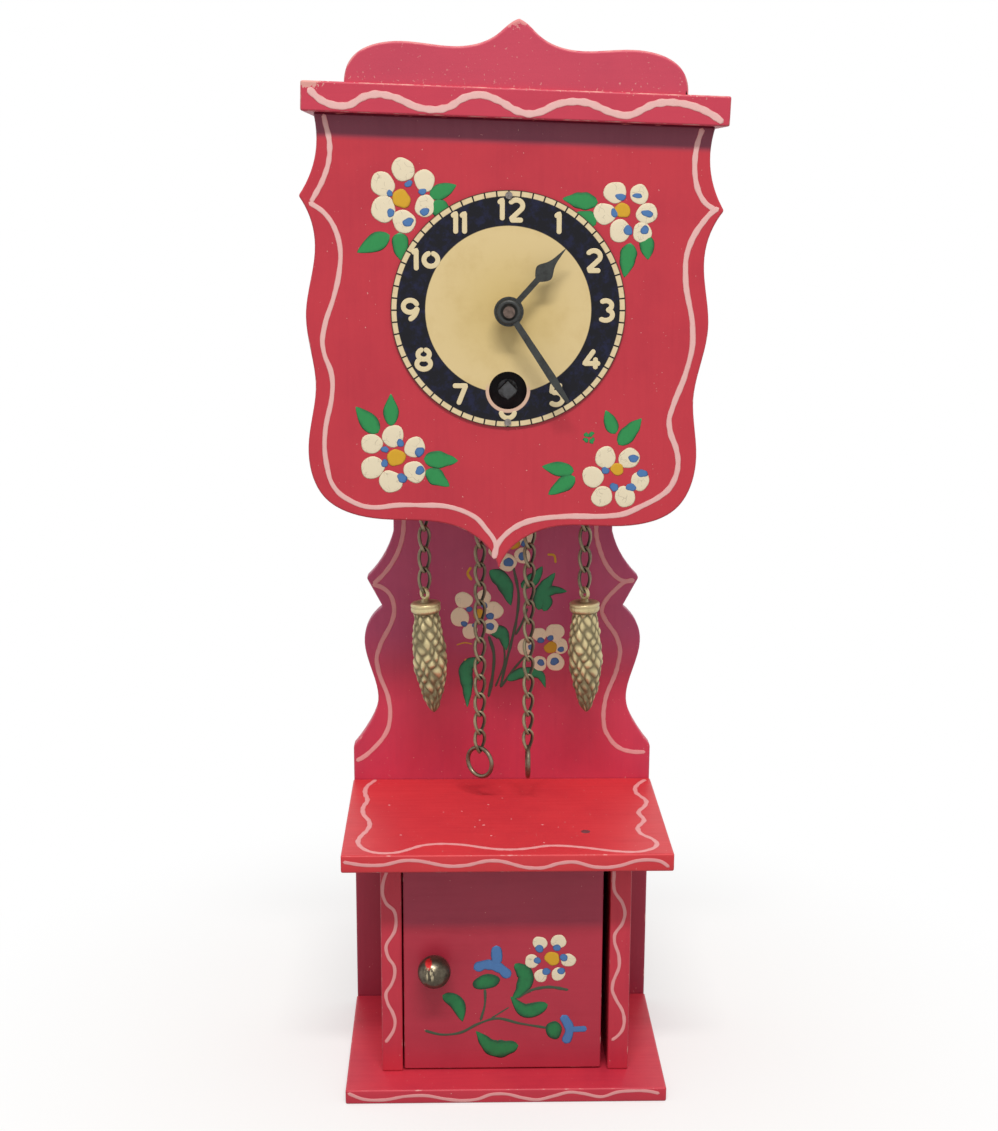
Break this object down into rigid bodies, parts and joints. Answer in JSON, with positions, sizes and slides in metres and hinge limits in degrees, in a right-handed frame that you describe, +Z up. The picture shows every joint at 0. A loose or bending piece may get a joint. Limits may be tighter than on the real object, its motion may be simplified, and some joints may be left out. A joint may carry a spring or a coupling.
{
  "type": "miniature longcase clock",
  "caption": "Toy-sized painted longcase clock: shaped hood with dial, waist with hanging chains and pinecone weights, and a cabinet whose door swings on nails.",
  "frame": {"origin": "On the floor under the case, midway between the front of the base board and the back of the back board.", "axes": "+Z up, the dial faces -Y, +X to the viewer's right"},
  "size_m": [0.0946, 0.0575, 0.2499],
  "materials": {
    "red_paint": "satin red paint with painted flowers and white lines",
    "white_paint": "brushed white lines and petals",
    "green_paint": "brushed green leaves",
    "blue_paint": "brushed blue dots",
    "yellow_paint": "brushed yellow flower centres",
    "bare_wood": "bare turned wood",
    "aged_brass": "dulled, darker in the hollows",
    "brass": "clean",
    "steel": "plain",
    "dial_enamel": "printed dial, cream centre and black ring",
    "hand_black": "blued black",
    "black_lacquer": "matt black lacquer",
    "tinplate": "dull tinplate"
  },
  "bodies": {
    "case": {"base_board": "red_paint", "back_board": "red_paint", "cabinet_side_left": "red_paint", "cabinet_side_right": "red_paint", "cabinet_shelf": "red_paint", "hood_front": "red_paint", "hood_side_left": "red_paint", "hood_side_right": "red_paint", "hood_floor": "red_paint", "cornice": "red_paint", "crest": "red_paint", "dial_plate": "dial_enamel", "dial_pins": "steel", "rear_cover": "tinplate", "rear_cover_screws": "steel", "case_nails": "steel", "door_pivots": "steel", "chain_pegs": "bare_wood", "chain_left_loop": "aged_brass", "chain_right_loop": "aged_brass", "movement_front_plate": "black_lacquer", "movement_back_plate": "brass", "movement_pillars": "brass", "pillar_screws": "steel", "movement_screws": "steel", "mainspring": "steel", "balance_cups": "brass", "hairspring": "steel"},
    "door": {"door": "red_paint", "door_knob": "aged_brass"},
    "left_weight": {"chain_left_weight_run": "aged_brass", "weight_left": "aged_brass"},
    "left_tail": {"chain_left_free_run": "aged_brass", "ring_left": "aged_brass"},
    "right_weight": {"chain_right_weight_run": "aged_brass", "weight_right": "aged_brass"},
    "right_tail": {"chain_right_free_run": "aged_brass", "ring_right": "aged_brass"},
    "center": {"center_arbor": "steel", "center_wheel": "brass", "cannon_pinion": "brass", "minute_hand": "hand_black", "hand_nut": "brass"},
    "hour": {"hour_wheel": "brass", "hour_hand": "hand_black"},
    "minute_wheel": {"minute_wheel": "brass"},
    "great": {"great_wheel": "brass", "click_spring": "steel"},
    "winding": {"winding_arbor": "steel", "ratchet_wheel": "brass"},
    "click": {"click": "steel"},
    "third": {"third_wheel": "brass"},
    "fourth": {"fourth_wheel": "brass"},
    "escape": {"escape_wheel": "brass"},
    "lever": {"lever": "steel"},
    "balance": {"balance_wheel": "brass"}
  },
  "joints": [
    {"name": "door_hinge", "type": "hinge", "parent": "case", "child": "door", "pos_m": [0.01895, -0.01475, 0.032], "axis": [0, 0, 1], "range_deg": [0, 110]},
    {"name": "center_spin", "type": "hinge", "parent": "case", "child": "center", "pos_m": [0, 0.0005, 0.1875], "axis": [0, 1, 0], "continuous": true},
    {"name": "hour_spin", "type": "hinge", "parent": "case", "child": "hour", "pos_m": [0, 0.0005, 0.1875], "axis": [0, 1, 0], "continuous": true},
    {"name": "minute_wheel_spin", "type": "hinge", "parent": "case", "child": "minute_wheel", "pos_m": [-0.0052, 0.0005, 0.1905], "axis": [0, 1, 0], "continuous": true},
    {"name": "great_spin", "type": "hinge", "parent": "case", "child": "great", "pos_m": [0, 0.0005, 0.1695], "axis": [0, 1, 0], "continuous": true},
    {"name": "third_spin", "type": "hinge", "parent": "case", "child": "third", "pos_m": [-0.00619, 0.0005, 0.19635], "axis": [0, 1, 0], "continuous": true},
    {"name": "fourth_spin", "type": "hinge", "parent": "case", "child": "fourth", "pos_m": [0.00275, 0.0005, 0.1996], "axis": [0, 1, 0], "continuous": true},
    {"name": "escape_spin", "type": "hinge", "parent": "case", "child": "escape", "pos_m": [0.01121, 0.0005, 0.19653], "axis": [0, 1, 0], "continuous": true},
    {"name": "winding_turn", "type": "hinge", "parent": "great", "child": "winding", "pos_m": [0, 0.0005, 0.1695], "axis": [0, 1, 0], "range_deg": [0, 1350]},
    {"name": "click_lift", "type": "hinge", "parent": "great", "child": "click", "pos_m": [0, 0.0005, 0.159], "axis": [0, 1, 0], "range_deg": [0, 6], "stiffness_Nm_per_rad": 0.0001, "springref_deg": 6},
    {"name": "lever_rock", "type": "hinge", "parent": "case", "child": "lever", "pos_m": [0.0134, 0.0005, 0.19073], "axis": [0, 1, 0], "range_deg": [-8, 8]},
    {"name": "balance_swing", "type": "hinge", "parent": "case", "child": "balance", "pos_m": [0.0165, 0.0005, 0.18252], "axis": [0, 1, 0], "range_deg": [-150, 150], "stiffness_Nm_per_rad": 0.0000024},
    {"name": "left_weight_swing", "type": "hinge", "parent": "case", "child": "left_weight", "pos_m": [-0.0195, 0.0075, 0.13843], "axis": [0, 1, 0], "range_deg": [-6, 6]},
    {"name": "left_tail_swing", "type": "hinge", "parent": "case", "child": "left_tail", "pos_m": [-0.006, 0.0075, 0.13843], "axis": [0, 1, 0], "range_deg": [-6, 6]},
    {"name": "right_weight_swing", "type": "hinge", "parent": "case", "child": "right_weight", "pos_m": [0.0195, 0.0075, 0.13843], "axis": [0, 1, 0], "range_deg": [-6, 6]},
    {"name": "right_tail_swing", "type": "hinge", "parent": "case", "child": "right_tail", "pos_m": [0.006, 0.0075, 0.13843], "axis": [0, 1, 0], "range_deg": [-6, 6]}
  ],
  "couplings": [
    {"joint": "hour_spin", "follows": "center_spin", "ratio": 0.083333},
    {"joint": "minute_wheel_spin", "follows": "center_spin", "ratio": -0.33333},
    {"joint": "great_spin", "follows": "center_spin", "ratio": -0.125},
    {"joint": "third_spin", "follows": "center_spin", "ratio": -8},
    {"joint": "fourth_spin", "follows": "center_spin", "ratio": 60},
    {"joint": "escape_spin", "follows": "center_spin", "ratio": -480}
  ]
}
